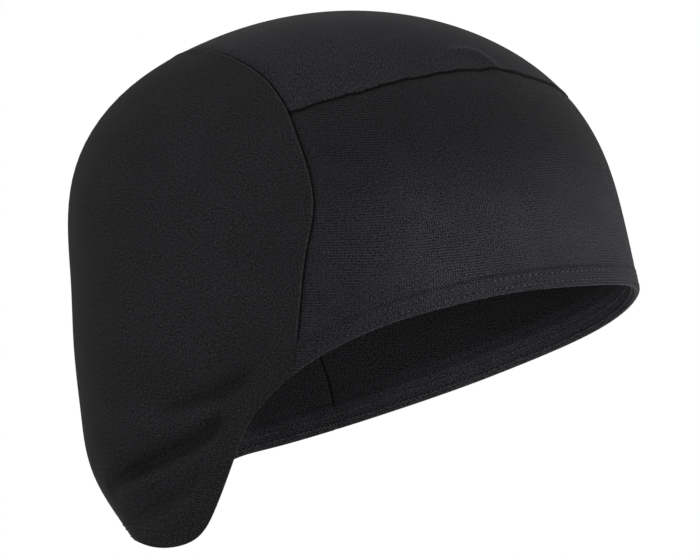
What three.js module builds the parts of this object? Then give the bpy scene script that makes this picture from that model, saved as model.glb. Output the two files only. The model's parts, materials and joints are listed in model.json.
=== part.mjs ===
// Skull cap with ear and nape cover, as worn: three sewn panels of thin stretch cloth around an open head
// hollow. Millimetres, +Z up, face towards -Y, the wearer's left towards +X. The origin is the inside of the
// crown's top.
import * as THREE from "three";

// Cloth
const WALL = 1.6;
const HEM_WALL = 2.6;
const HEM_DEPTH = 8;
const SEAM_SETBACK = 0.15;

// Panel grids, in cells
const SEAM_CELLS_BESIDE_EAR = 11;
const SEAM_CELLS_BESIDE_CROWN = 10;
const SEAM_CELLS_ACROSS = 24;
const REAR_PANEL_ROWS = 26;
const TOP_PANEL_ROUNDS = 300;

// Level sections from the crown down. drop: depth below the crown's top; front, back and half: reach forward,
// backward and to each side; widest: how far behind the crown the section is widest; square: fullness of its
// corners; lean: shift towards the wearer's left.
const SECTIONS = [
  { drop: 0, front: 0, back: 0, half: 0, widest: 0, square: 0, lean: 0 },
  { drop: 3, front: 27, back: 26.5, half: 23, widest: 0, square: 0.02, lean: 0 },
  { drop: 12, front: 52.5, back: 53.5, half: 44, widest: 2, square: 0.05, lean: 0 },
  { drop: 28, front: 75, back: 80, half: 61, widest: 5, square: 0.08, lean: 0 },
  { drop: 50, front: 90, back: 96.5, half: 71.5, widest: 8, square: 0.1, lean: 0 },
  { drop: 74, front: 97.5, back: 101, half: 76.5, widest: 10, square: 0.12, lean: 0 },
  { drop: 98, front: 102.5, back: 99.5, half: 77.5, widest: 11, square: 0.12, lean: 0 },
  { drop: 122, front: 105, back: 98, half: 75.5, widest: 14, square: 0.12, lean: 0 },
  { drop: 146, front: 97, back: 95, half: 69, widest: 20, square: 0.1, lean: -1 },
  { drop: 170, front: 82, back: 88.4, half: 58, widest: 29, square: 0.06, lean: -4 },
  { drop: 198, front: 54, back: 67.5, half: 42, widest: 40, square: 0.02, lean: -8 },
];
const LEVEL_COLUMNS = ["drop", "widest", "square", "lean"];

// Hem edge, from the nape's centre round the wearer's right side, the forehead and the left side.
// turn: degrees from the front, the wearer's right negative; drop: depth below the crown's top.
const HEM = [
  { turn: -180, drop: 190 },
  { turn: -150, drop: 191.7 },
  { turn: -121, drop: 195.5 },
  { turn: -101, drop: 194.5 },
  { turn: -94.5, drop: 184.5 },
  { turn: -93, drop: 166 },
  { turn: -92, drop: 154.5 },
  { turn: -86, drop: 139.8 },
  { turn: -74, drop: 125.8 },
  { turn: -61, drop: 117.2 },
  { turn: -46, drop: 110.5 },
  { turn: -25, drop: 105 },
  { turn: 0, drop: 101.6 },
  { turn: 25, drop: 107.4 },
  { turn: 46, drop: 116.6 },
  { turn: 61, drop: 125.5 },
  { turn: 75, drop: 134.5 },
  { turn: 87, drop: 142 },
  { turn: 99, drop: 148.5 },
  { turn: 109, drop: 153.7 },
  { turn: 115, drop: 163 },
  { turn: 120, drop: 175 },
  { turn: 132, drop: 184 },
  { turn: 154, drop: 188.5 },
  { turn: 180, drop: 190 },
];
const RIGHT_NAPE_CORNER = 3;
const RIGHT_EAR = 7;
const RIGHT_TEMPLE = 10;
const LEFT_TEMPLE = 14;
const LEFT_EAR = 17;
const LEFT_NAPE_CORNER = 21;

// Seam between the rear panel and the two others, from the hem over the right ear, the crown's back and the
// left ear
const RIGHT_EAR_SEAM = [
  { turn: -86, drop: 139.8 },
  { turn: -87, drop: 119 },
  { turn: -87, drop: 99 },
  { turn: -86, drop: 81 },
  { turn: -89, drop: 63 },
  { turn: -93, drop: 49 },
];
const CROWN_BACK_SEAM = [
  { turn: -93, drop: 49 },
  { turn: -104, drop: 32.4 },
  { turn: -128, drop: 20.5 },
  { turn: -155, drop: 17 },
  { turn: -180, drop: 16 },
  { turn: -205, drop: 17 },
  { turn: -232, drop: 20.5 },
  { turn: -256, drop: 32.4 },
  { turn: -267, drop: 49 },
];
const LEFT_EAR_SEAM = [
  { turn: -267, drop: 49 },
  { turn: -268, drop: 66 },
  { turn: -267, drop: 85 },
  { turn: -264.2, drop: 104 },
  { turn: -268.3, drop: 122 },
  { turn: -273, drop: 142 },
];

// Seam between the top and front panels, from the right ear seam round the forehead to the left one
const RIGHT_CROWN_SEAM = [
  { turn: -93, drop: 49 },
  { turn: -78, drop: 41.5 },
  { turn: -62, drop: 34.5 },
  { turn: -43, drop: 29.7 },
];
const FOREHEAD_SEAM = [
  { turn: -43, drop: 29.7 },
  { turn: -28, drop: 30.2 },
  { turn: -14, drop: 31.5 },
  { turn: 0, drop: 32 },
  { turn: 14, drop: 31.5 },
  { turn: 28, drop: 30.2 },
  { turn: 43, drop: 29.7 },
];
const LEFT_CROWN_SEAM = [
  { turn: 43, drop: 29.7 },
  { turn: 62, drop: 34.5 },
  { turn: 78, drop: 41.5 },
  { turn: 93, drop: 49 },
];

// Soft folds of the nape cloth, each a valley from one place to another. depth: how far the cloth sinks;
// width: half of the valley's width.
const FOLDS = [
  { fromTurn: -121, fromDrop: 148, toTurn: -98, toDrop: 141, depth: 1.4, width: 7 },
  { fromTurn: -125, fromDrop: 168, toTurn: -101, toDrop: 155.5, depth: 2.2, width: 7 },
  { fromTurn: -128, fromDrop: 184, toTurn: -104, toDrop: 171, depth: 1.5, width: 7 },
  { fromTurn: 136, fromDrop: 150, toTurn: 112, toDrop: 143, depth: 1.2, width: 7 },
  { fromTurn: 142, fromDrop: 168, toTurn: 120, toDrop: 158, depth: 1.6, width: 7 },
];

// Colours
const REAR_CLOTH = { color: 0x29292c, roughness: 0.9, metalness: 0 };
const TOP_CLOTH = { color: 0x2d2d32, roughness: 0.9, metalness: 0 };
const FRONT_CLOTH = { color: 0x323137, roughness: 0.85, metalness: 0 };

// A smooth curve through evenly spaced values. With a level start it leaves the first value without a slope.
function smoothColumn(values, levelStart) {
  const last = values.length - 1;
  const bend = new Array(values.length).fill(0);
  const carry = new Array(values.length).fill(0);
  if (levelStart) {
    carry[0] = 0.5;
    bend[0] = 3 * (values[1] - values[0]);
  }
  for (let i = 1; i < last; i += 1) {
    const pivot = 4 - carry[i - 1];
    carry[i] = 1 / pivot;
    bend[i] = (6 * (values[i + 1] - 2 * values[i] + values[i - 1]) - bend[i - 1]) / pivot;
  }
  for (let i = last - 1; i >= 0; i -= 1) {
    bend[i] -= carry[i] * bend[i + 1];
  }
  return (place) => {
    const i = Math.min(Math.max(Math.floor(place), 0), last - 1);
    const after = place - i;
    const before = 1 - after;
    const straight = before * values[i] + after * values[i + 1];
    return straight + ((before ** 3 - before) * bend[i] + (after ** 3 - after) * bend[i + 1]) / 6;
  };
}

const section = Object.fromEntries(
  Object.keys(SECTIONS[0]).map((name) => [
    name,
    smoothColumn(SECTIONS.map((row) => row[name]), LEVEL_COLUMNS.includes(name)),
  ]),
);

// The smooth outer form, by the angle from the front and the level, a place between the rows of SECTIONS
function formPoint(angle, level) {
  const forward = Math.cos(angle);
  const sideways = Math.sin(angle);
  const front = section.front(level);
  const back = section.back(level);
  const widest = section.widest(level);
  const x = section.half(level) * sideways * (1 + section.square(level) * forward ** 2) + section.lean(level);
  const y = widest - ((front + back) / 2) * forward + ((back - front) / 2 - widest) * forward ** 2;
  return new THREE.Vector3(x, y, WALL - section.drop(level));
}

function levelAtDrop(drop) {
  let low = 0;
  let high = SECTIONS.length - 1;
  while (high - low > 1e-9) {
    const middle = (low + high) / 2;
    if (section.drop(middle) < drop) {
      low = middle;
    } else {
      high = middle;
    }
  }
  return (low + high) / 2;
}

// The cloth's flat pattern: a place is its level, laid off from the crown in the direction of its angle
function patternPlace(turn, drop) {
  const angle = THREE.MathUtils.degToRad(turn);
  const level = levelAtDrop(drop);
  return new THREE.Vector2(level * Math.sin(angle), -level * Math.cos(angle));
}

function onForm(place) {
  return formPoint(Math.atan2(place.x, -place.y), place.length());
}

// The outward direction of a surface given over the pattern
function outward(surface, place) {
  const step = 0.01;
  const across = surface(new THREE.Vector2(place.x + step, place.y));
  across.sub(surface(new THREE.Vector2(place.x - step, place.y)));
  const along = surface(new THREE.Vector2(place.x, place.y + step));
  along.sub(surface(new THREE.Vector2(place.x, place.y - step)));
  return across.cross(along).normalize();
}

const foldLines = FOLDS.map((fold) => ({
  line: new THREE.Line3(
    onForm(patternPlace(fold.fromTurn, fold.fromDrop)),
    onForm(patternPlace(fold.toTurn, fold.toDrop)),
  ),
  depth: fold.depth,
  width: fold.width,
}));

function foldDepth(point) {
  const nearest = new THREE.Vector3();
  return foldLines.reduce((sum, { line, depth, width }) => {
    line.closestPointToPoint(point, true, nearest);
    return sum + depth * Math.exp(-((nearest.distanceTo(point) / width) ** 2));
  }, 0);
}

// The outer face of the cloth, with its folds
function onCloth(place) {
  const point = onForm(place);
  return point.addScaledVector(outward(onForm, place), -foldDepth(point));
}

// Evenly spaced pattern places on the smooth line through some rows of a table
function sampleLine(rows, cells, fromRow = 0, toRow = rows.length - 1) {
  const turn = smoothColumn(rows.map((row) => row.turn), false);
  const drop = smoothColumn(rows.map((row) => row.drop), false);
  const fine = 40 * (toRow - fromRow);
  const places = [];
  const lengths = [0];
  for (let i = 0; i <= fine; i += 1) {
    const row = fromRow + (i * (toRow - fromRow)) / fine;
    places.push(patternPlace(turn(row), drop(row)));
    if (i > 0) {
      lengths.push(lengths[i - 1] + onForm(places[i]).distanceTo(onForm(places[i - 1])));
    }
  }
  const samples = [];
  for (let i = 0, j = 0; i <= cells; i += 1) {
    const wanted = (lengths[fine] * i) / cells;
    while (j < fine - 1 && lengths[j + 1] < wanted) {
      j += 1;
    }
    const share = (wanted - lengths[j]) / (lengths[j + 1] - lengths[j]);
    samples.push(places[j].clone().lerp(places[j + 1], share));
  }
  return samples;
}

// One run of places out of several that follow each other
function joinRuns(...runs) {
  return runs.reduce((joined, run) => joined.concat(run.slice(1)));
}

// A grid of pattern places that fills the space between four edges. start and end run from first to last.
function fillPatch(start, end, first, last) {
  const columns = start.length - 1;
  const rows = first.length - 1;
  const grid = [];
  for (let i = 0; i <= columns; i += 1) {
    const s = i / columns;
    grid.push([]);
    for (let j = 0; j <= rows; j += 1) {
      const t = j / rows;
      const place = start[i].clone().multiplyScalar(1 - t);
      place.addScaledVector(end[i], t);
      place.addScaledVector(first[j], 1 - s);
      place.addScaledVector(last[j], s);
      place.addScaledVector(start[0], -(1 - s) * (1 - t));
      place.addScaledVector(start[columns], -s * (1 - t));
      place.addScaledVector(end[0], -(1 - s) * t);
      place.addScaledVector(end[columns], -s * t);
      grid[i].push(place);
    }
  }
  return grid;
}

// Draws each inner place of a grid to the mean of its four neighbours, round after round
function evenOut(grid, rounds) {
  for (let round = 0; round < rounds; round += 1) {
    for (let i = 1; i < grid.length - 1; i += 1) {
      for (let j = 1; j < grid[i].length - 1; j += 1) {
        grid[i][j].copy(grid[i - 1][j]).add(grid[i + 1][j]).add(grid[i][j - 1]).add(grid[i][j + 1]);
        grid[i][j].divideScalar(4);
      }
    }
  }
  return grid;
}

const hemPoints = sampleLine(HEM, 240).map(onCloth);

function wallAt(point) {
  const toHem = Math.min(...hemPoints.map((hemPoint) => hemPoint.distanceTo(point)));
  return toHem < HEM_DEPTH ? HEM_WALL : WALL;
}

// The rim of a grid as pairs of column and row, anticlockwise as seen from outside
function rimOf(columns, rows) {
  const rim = [];
  for (let i = 0; i < columns; i += 1) {
    rim.push([i, 0]);
  }
  for (let j = 0; j < rows; j += 1) {
    rim.push([columns, j]);
  }
  for (let i = columns; i > 0; i -= 1) {
    rim.push([i, rows]);
  }
  for (let j = rows; j > 0; j -= 1) {
    rim.push([0, j]);
  }
  return rim;
}

// Moves the points on the rim into the panel, square to the rim, so that the next panel clears it
function drawBackRim(points, normals, rim) {
  const corners = rim.map(([i, j]) => points[i][j].clone());
  rim.forEach(([i, j], k) => {
    const before = corners.at(k - 1);
    const after = corners[(k + 1) % corners.length];
    const arriving = corners[k].clone().sub(before).normalize();
    const along = after.clone().sub(corners[k]).normalize().add(arriving);
    const halfCosine = along.length() / 2;
    const inward = normals[i][j].clone().cross(along).normalize();
    points[i][j].addScaledVector(inward, SEAM_SETBACK / halfCosine);
  });
}

// A closed cloth wall over a grid of pattern places. Columns and then rows turn anticlockwise as seen from
// outside.
function panelGeometry(grid) {
  const columns = grid.length - 1;
  const rows = grid[0].length - 1;
  const rim = rimOf(columns, rows);
  const faces = grid.map((column) => column.map(onCloth));
  const normals = grid.map((column) => column.map((place) => outward(onCloth, place)));
  drawBackRim(faces, normals, rim);

  const positions = [];
  const outside = [];
  const inside = [];
  for (let i = 0; i <= columns; i += 1) {
    outside.push([]);
    inside.push([]);
    for (let j = 0; j <= rows; j += 1) {
      const back = faces[i][j].clone().addScaledVector(normals[i][j], -wallAt(faces[i][j]));
      outside[i].push(positions.push(faces[i][j]) - 1);
      inside[i].push(positions.push(back) - 1);
    }
  }

  const triangles = [];
  const quad = (a, b, c, d) => {
    if (positions[a].distanceTo(positions[c]) < positions[b].distanceTo(positions[d])) {
      triangles.push(a, b, c, a, c, d);
    } else {
      triangles.push(b, c, d, b, d, a);
    }
  };
  for (let i = 0; i < columns; i += 1) {
    for (let j = 0; j < rows; j += 1) {
      quad(outside[i][j], outside[i + 1][j], outside[i + 1][j + 1], outside[i][j + 1]);
      quad(inside[i][j], inside[i][j + 1], inside[i + 1][j + 1], inside[i + 1][j]);
    }
  }
  rim.forEach(([i, j], k) => {
    const [nextI, nextJ] = rim[(k + 1) % rim.length];
    quad(inside[i][j], inside[nextI][nextJ], outside[nextI][nextJ], outside[i][j]);
  });

  const geometry = new THREE.BufferGeometry().setFromPoints(positions);
  geometry.setIndex(triangles);
  geometry.computeVertexNormals();
  return geometry;
}

// Edges that neighbouring panels share
const rightEarSeam = sampleLine(RIGHT_EAR_SEAM, SEAM_CELLS_BESIDE_EAR);
const crownBackSeam = sampleLine(CROWN_BACK_SEAM, SEAM_CELLS_ACROSS);
const leftEarSeam = sampleLine(LEFT_EAR_SEAM, SEAM_CELLS_BESIDE_EAR);
const rightCrownSeam = sampleLine(RIGHT_CROWN_SEAM, SEAM_CELLS_BESIDE_CROWN);
const foreheadSeam = sampleLine(FOREHEAD_SEAM, SEAM_CELLS_ACROSS);
const leftCrownSeam = sampleLine(LEFT_CROWN_SEAM, SEAM_CELLS_BESIDE_CROWN);

function panel(name, finish, grid) {
  const mesh = new THREE.Mesh(panelGeometry(grid), new THREE.MeshStandardMaterial(finish));
  mesh.name = name;
  return mesh;
}

// Back of the head, ears and nape
function rearPanel() {
  const seam = joinRuns(rightEarSeam, crownBackSeam, leftEarSeam);
  const napeHem = joinRuns(
    sampleLine(HEM, (seam.length - 1) / 2, 0, RIGHT_NAPE_CORNER).toReversed(),
    sampleLine(HEM, (seam.length - 1) / 2, LEFT_NAPE_CORNER).toReversed(),
  );
  const rightHem = sampleLine(HEM, REAR_PANEL_ROWS, RIGHT_NAPE_CORNER, RIGHT_EAR).toReversed();
  const leftHem = sampleLine(HEM, REAR_PANEL_ROWS, LEFT_EAR, LEFT_NAPE_CORNER);
  return panel("rear_panel", REAR_CLOTH, fillPatch(seam, napeHem, rightHem, leftHem));
}

// Band over the forehead from ear seam to ear seam
function frontPanel() {
  const hem = joinRuns(
    sampleLine(HEM, SEAM_CELLS_BESIDE_CROWN, RIGHT_EAR, RIGHT_TEMPLE),
    sampleLine(HEM, SEAM_CELLS_ACROSS, RIGHT_TEMPLE, LEFT_TEMPLE),
    sampleLine(HEM, SEAM_CELLS_BESIDE_CROWN, LEFT_TEMPLE, LEFT_EAR),
  );
  const seam = joinRuns(rightCrownSeam, foreheadSeam, leftCrownSeam);
  return panel("front_panel", FRONT_CLOTH, fillPatch(hem, seam, rightEarSeam, leftEarSeam.toReversed()));
}

// Panel over the crown, from the forehead seam to the crown's back. Its front corners are nearly straight, so
// its grid is evened out to keep the cells there from folding over.
function topPanel() {
  const grid = fillPatch(foreheadSeam, crownBackSeam, rightCrownSeam.toReversed(), leftCrownSeam);
  return panel("top_panel", TOP_CLOTH, evenOut(grid, TOP_PANEL_ROUNDS));
}

const group = new THREE.Group();
group.add(rearPanel(), topPanel(), frontPanel());

export default group;
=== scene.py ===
"""Skull cap with ear and nape cover, as worn: three sewn panels of black stretch cloth with a stitched hem.

Laid out as an add-on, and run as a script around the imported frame. Every object is in metres, +Z up, with the
face towards -Y and the wearer's left towards +X. The tables of the form are in millimetres and degrees.
"""

import json
import math
from collections import namedtuple

import bpy
import numpy as np
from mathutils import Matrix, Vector
from mathutils.kdtree import KDTree


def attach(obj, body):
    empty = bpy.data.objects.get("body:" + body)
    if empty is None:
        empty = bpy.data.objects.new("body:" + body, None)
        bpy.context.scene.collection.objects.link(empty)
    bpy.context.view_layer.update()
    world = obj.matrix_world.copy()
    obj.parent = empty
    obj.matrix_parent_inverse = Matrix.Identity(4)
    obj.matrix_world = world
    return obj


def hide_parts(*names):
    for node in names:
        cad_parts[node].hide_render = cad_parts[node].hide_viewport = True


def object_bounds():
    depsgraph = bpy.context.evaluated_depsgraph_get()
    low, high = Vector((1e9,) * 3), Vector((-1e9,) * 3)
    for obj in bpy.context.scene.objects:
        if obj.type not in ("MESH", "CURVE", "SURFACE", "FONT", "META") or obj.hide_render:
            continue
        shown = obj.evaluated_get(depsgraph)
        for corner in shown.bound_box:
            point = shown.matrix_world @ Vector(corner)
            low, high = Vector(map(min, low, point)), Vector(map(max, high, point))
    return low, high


bl_info = {
    "name": "Skull cap",
    "version": (1, 0, 0),
    "blender": (4, 5, 0),
    "location": "View3D > Sidebar > Cap",
    "description": "Sews the visual model of a worn skull cap around its packed frame",
    "category": "Add Mesh",
}

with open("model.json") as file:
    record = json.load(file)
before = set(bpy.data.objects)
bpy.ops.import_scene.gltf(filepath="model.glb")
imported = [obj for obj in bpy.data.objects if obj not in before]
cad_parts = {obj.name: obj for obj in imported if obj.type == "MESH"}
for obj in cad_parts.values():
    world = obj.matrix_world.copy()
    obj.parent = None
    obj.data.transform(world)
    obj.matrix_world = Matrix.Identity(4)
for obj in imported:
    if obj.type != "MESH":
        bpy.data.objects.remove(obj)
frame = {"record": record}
CAD_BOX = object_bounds()
SLOT_COLOURS = {row["slot"]: row["base_color"] for row in frame["record"]["materials"]}

MM = 0.001
TURN = 2 * math.pi

# Form of the cap, level by level from the crown down, in millimetres. drop: depth below the crown's top;
# front, back and half: reach forward, backward and to each side; widest: how far behind the crown the level
# is widest; square: fullness of its corners; lean: shift towards the wearer's left.
Section = namedtuple("Section", "drop front back half widest square lean")
SECTIONS = (
    Section(0, 0, 0, 0, 0, 0, 0),
    Section(3, 27, 26.5, 23, 0, 0.02, 0),
    Section(12, 52.5, 53.5, 44, 2, 0.05, 0),
    Section(28, 75, 80, 61, 5, 0.08, 0),
    Section(50, 90, 96.5, 71.5, 8, 0.1, 0),
    Section(74, 97.5, 101, 76.5, 10, 0.12, 0),
    Section(98, 102.5, 99.5, 77.5, 11, 0.12, 0),
    Section(122, 105, 98, 75.5, 14, 0.12, 0),
    Section(146, 97, 95, 69, 20, 0.1, -1),
    Section(170, 82, 88.4, 58, 29, 0.06, -4),
    Section(198, 54, 67.5, 42, 40, 0.02, -8),
)
LEVEL_COLUMNS = ("drop", "widest", "square", "lean")

# Hem and seams as marks on the form. turn: degrees from the front, the wearer's right negative; drop: depth
# below the crown's top in millimetres.
Mark = namedtuple("Mark", "turn drop")
HEM = (
    Mark(-180, 190),
    Mark(-150, 191.7),
    Mark(-121, 195.5),
    Mark(-101, 194.5),
    Mark(-94.5, 184.5),
    Mark(-93, 166),
    Mark(-92, 154.5),
    Mark(-86, 139.8),
    Mark(-74, 125.8),
    Mark(-61, 117.2),
    Mark(-46, 110.5),
    Mark(-25, 105),
    Mark(0, 101.6),
    Mark(25, 107.4),
    Mark(46, 116.6),
    Mark(61, 125.5),
    Mark(75, 134.5),
    Mark(87, 142),
    Mark(99, 148.5),
    Mark(109, 153.7),
    Mark(115, 163),
    Mark(120, 175),
    Mark(132, 184),
    Mark(154, 188.5),
    Mark(180, 190),
)
RIGHT_NAPE_CORNER = 3
RIGHT_EAR = 7
LEFT_EAR = 17
LEFT_NAPE_CORNER = 21

RIGHT_EAR_SEAM = (
    Mark(-86, 139.8),
    Mark(-87, 119),
    Mark(-87, 99),
    Mark(-86, 81),
    Mark(-89, 63),
    Mark(-93, 49),
)
CROWN_BACK_SEAM = (
    Mark(-93, 49),
    Mark(-104, 32.4),
    Mark(-128, 20.5),
    Mark(-155, 17),
    Mark(-180, 16),
    Mark(-205, 17),
    Mark(-232, 20.5),
    Mark(-256, 32.4),
    Mark(-267, 49),
)
LEFT_EAR_SEAM = (
    Mark(-267, 49),
    Mark(-268, 66),
    Mark(-267, 85),
    Mark(-264.2, 104),
    Mark(-268.3, 122),
    Mark(-273, 142),
)
RIGHT_CROWN_SEAM = (Mark(-93, 49), Mark(-78, 41.5), Mark(-62, 34.5), Mark(-43, 29.7))
FOREHEAD_SEAM = (
    Mark(-43, 29.7),
    Mark(-28, 30.2),
    Mark(-14, 31.5),
    Mark(0, 32),
    Mark(14, 31.5),
    Mark(28, 30.2),
    Mark(43, 29.7),
)
LEFT_CROWN_SEAM = (Mark(43, 29.7), Mark(62, 34.5), Mark(78, 41.5), Mark(93, 49))

# Folds of the nape cloth as in the frame, each a valley from one mark to another, and sharper creases within
# and beside them through three marks. depth: how far the cloth sinks, negative where it rises; width: half of
# the valley's width. Millimetres.
Fold = namedtuple("Fold", "start end depth width")
FOLDS = (
    Fold(Mark(-121, 148), Mark(-98, 141), 1.4, 7),
    Fold(Mark(-125, 168), Mark(-101, 155.5), 2.2, 7),
    Fold(Mark(-128, 184), Mark(-104, 171), 1.5, 7),
    Fold(Mark(136, 150), Mark(112, 143), 1.2, 7),
    Fold(Mark(142, 168), Mark(120, 158), 1.6, 7),
)
Crease = namedtuple("Crease", "start middle end depth width")
CREASES = (
    Crease(Mark(-119, 151.5), Mark(-103.5, 146.5), Mark(-92.5, 138), 3.3, 2.6),
    Crease(Mark(-115, 155), Mark(-101, 151), Mark(-92, 144), -0.8, 3.4),
    Crease(Mark(-146, 174.5), Mark(-109.5, 164), Mark(-95.5, 149.5), 4.2, 2.9),
    Crease(Mark(-138, 179), Mark(-107, 169), Mark(-94, 155), -0.9, 3.8),
    Crease(Mark(-131.5, 187), Mark(-107.5, 178.5), Mark(-98, 168.5), 2.0, 2.6),
    Crease(Mark(137, 151), Mark(124, 147.5), Mark(113, 142.5), 1.4, 2.8),
    Crease(Mark(142, 169), Mark(131, 164.5), Mark(120, 158.5), 1.8, 3.0),
    Crease(Mark(-54.5, 24.5), Mark(-44, 24), Mark(-40.5, 33), -1.1, 2.1),
    Crease(Mark(-104, 24), Mark(-101.5, 30), Mark(-99, 36), -0.45, 2.2),
    Crease(Mark(45, 22), Mark(44, 25), Mark(43.5, 28.5), -0.4, 1.8),
    Crease(Mark(103, 26), Mark(100.5, 31.5), Mark(98, 37), -0.35, 2.2),
)

# Slight ripples of the cloth along its seams. wave and height in millimetres, start in radians.
Ripple = namedtuple("Ripple", "wave height start")
SEAM_RIPPLES = (Ripple(6.7, 0.06, 0.4), Ripple(10.9, 0.08, 2.1), Ripple(23.3, 0.12, 4.0))
RIPPLE_REACH = 5 * MM


# Form


def smooth_column(values, level_start=False):
    """A smooth curve through evenly spaced values. With a level start it leaves the first without a slope."""
    values = np.array(values, dtype=float)
    last = len(values) - 1
    bend = np.zeros(last + 1)
    carry = np.zeros(last + 1)
    if level_start:
        carry[0] = 0.5
        bend[0] = 3 * (values[1] - values[0])
    for i in range(1, last):
        pivot = 4 - carry[i - 1]
        carry[i] = 1 / pivot
        bend[i] = (6 * (values[i + 1] - 2 * values[i] + values[i - 1]) - bend[i - 1]) / pivot
    for i in range(last - 1, -1, -1):
        bend[i] -= carry[i] * bend[i + 1]

    def curve(place):
        place = np.asarray(place, dtype=float)
        i = np.clip(np.floor(place).astype(int), 0, last - 1)
        after = place - i
        before = 1 - after
        straight = before * values[i] + after * values[i + 1]
        return straight + ((before**3 - before) * bend[i] + (after**3 - after) * bend[i + 1]) / 6

    return curve


SECTION = {
    name: smooth_column([getattr(row, name) for row in SECTIONS], name in LEVEL_COLUMNS)
    for name in Section._fields
}
WALL_ABOVE_ORIGIN = CAD_BOX[1][2]
LEVELS = np.linspace(0, len(SECTIONS) - 1, 20001)
DROPS = SECTION["drop"](LEVELS)


def form_point(angle, level):
    """The smooth outer form, by the angle from the front and the level."""
    angle, level = np.broadcast_arrays(angle, level)
    forward = np.cos(angle)
    sideways = np.sin(angle)
    front, back, widest = (SECTION[name](level) for name in ("front", "back", "widest"))
    corners = 1 + SECTION["square"](level) * forward**2
    x = SECTION["half"](level) * sideways * corners + SECTION["lean"](level)
    y = widest - (front + back) / 2 * forward + ((back - front) / 2 - widest) * forward**2
    return np.stack([x * MM, y * MM, WALL_ABOVE_ORIGIN - SECTION["drop"](level) * MM], axis=-1)


def pattern_place(turn, drop):
    """A place of the cloth's flat pattern: its level, laid off from the crown in its angle's direction."""
    angle = np.radians(turn)
    level = np.interp(drop, DROPS, LEVELS)
    return np.stack([level * np.sin(angle), -level * np.cos(angle)], axis=-1)


def on_form(places):
    return form_point(np.arctan2(places[..., 0], -places[..., 1]), np.hypot(places[..., 0], places[..., 1]))


def unit(vectors):
    return vectors / np.maximum(np.linalg.norm(vectors, axis=-1, keepdims=True), 1e-12)


def bell(distance, width):
    """1 at no distance, falling away to both sides."""
    return np.exp(-((distance / width) ** 2))


def slopes(surface, places):
    """How the surface point moves with each of the two pattern coordinates."""
    step = 0.01
    across = surface(places + [step, 0]) - surface(places - [step, 0])
    along = surface(places + [0, step]) - surface(places - [0, step])
    return across / (2 * step), along / (2 * step)


def outward(surface, places):
    return unit(np.cross(*slopes(surface, places)))


FOLD_ENDS = [[on_form(pattern_place(*mark)) for mark in (fold.start, fold.end)] for fold in FOLDS]


def fold_depth(points):
    """How far the cloth sinks at each point in its folds."""
    depths = np.zeros(points.shape[:-1])
    for fold, (start, end) in zip(FOLDS, FOLD_ENDS):
        along = end - start
        share = np.clip((points - start) @ along / (along @ along), 0, 1)
        gap = np.linalg.norm(points - start - share[..., None] * along, axis=-1)
        depths += fold.depth * MM * bell(gap, fold.width * MM)
    return depths


def on_cloth(places):
    """The outer face of the cloth with its folds, as in the frame."""
    points = on_form(places)
    return points - outward(on_form, places) * fold_depth(points)[..., None]


# Lines on the cloth


Line = namedtuple("Line", "places points lengths")


def lengths_along(points, axis=0):
    """How far each point lies from the first, over the points between them."""
    steps = np.linalg.norm(np.diff(points, axis=axis), axis=-1)
    return np.cumsum(np.insert(steps, 0, 0, axis=axis), axis=axis)


def line_of(places):
    points = on_cloth(places)
    return Line(places, points, lengths_along(points))


# Steps of a line from one mark to the next
STEPS = 150


def smooth_line(marks, first=0, last=None):
    """The smooth line through some marks, in fine steps."""
    last = len(marks) - 1 if last is None else last
    rows = np.linspace(first, last, STEPS * (last - first) + 1)
    turn = smooth_column([mark.turn for mark in marks])
    drop = smooth_column([mark.drop for mark in marks])
    return line_of(pattern_place(turn(rows), drop(rows)))


def joined(*lines):
    return line_of(np.concatenate([lines[0].places, *(line.places[1:] for line in lines[1:])]))


def turned(line):
    return line_of(line.places[::-1])


def part_way(line, shares):
    """Pattern places at shares of the line's length."""
    wanted = np.asarray(shares) * line.lengths[-1]
    return np.stack([np.interp(wanted, line.lengths, line.places[:, k]) for k in range(2)], axis=-1)


def nearest_on(line, points):
    """For each point its distance from the line, how far along the line that is, and the step there."""
    tree = KDTree(len(line.points))
    for k, point in enumerate(line.points):
        tree.insert(point, k)
    tree.balance()
    close = np.array([tree.find(point)[1] for point in points])
    distance = np.full(len(points), np.inf)
    along = np.zeros(len(points))
    step = np.zeros(len(points), dtype=int)
    for offset in (-1, 0):
        k = np.clip(close + offset, 0, len(line.points) - 2)
        piece = line.points[k + 1] - line.points[k]
        share = np.clip(((points - line.points[k]) * piece).sum(1) / (piece * piece).sum(1), 0, 1)
        gap = np.linalg.norm(points - line.points[k] - share[:, None] * piece, axis=1)
        better = gap < distance
        distance = np.where(better, gap, distance)
        along = np.where(better, line.lengths[k] + share * np.linalg.norm(piece, axis=1), along)
        step = np.where(better, k, step)
    return distance, along, step


def crease_depth(points):
    """How far the cloth sinks at each point in its creases, which fade out towards both ends."""
    depths = np.zeros(len(points))
    for crease in CREASES:
        line = smooth_line((crease.start, crease.middle, crease.end))
        distance, along, _ = nearest_on(line, points)
        fade = 1 - np.abs(2 * along / line.lengths[-1] - 1) ** 3
        depths += crease.depth * MM * fade * bell(distance, crease.width * MM)
    return depths


def step_inward(places, directions, length):
    """Moves pattern places a length over the cloth, in the given directions in space."""
    across, along = slopes(on_cloth, places)
    aa = (across * across).sum(-1)
    ab = (across * along).sum(-1)
    bb = (along * along).sum(-1)
    wanted_a = (across * directions).sum(-1)
    wanted_b = (along * directions).sum(-1)
    spread = aa * bb - ab * ab
    move_a = (bb * wanted_a - ab * wanted_b) / spread
    move_b = (aa * wanted_b - ab * wanted_a) / spread
    return places + np.stack([move_a, move_b], axis=-1) * length


def offset_line(line, distance):
    """The line's places moved to its left over the cloth, as seen from outside, by a distance."""
    steps = max(1, round(abs(distance) / MM))
    places = line.places
    for _ in range(steps):
        tangents = unit(np.gradient(on_cloth(places), axis=0))
        places = step_inward(places, np.cross(outward(on_cloth, places), tangents), distance / steps)
    return places


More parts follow.
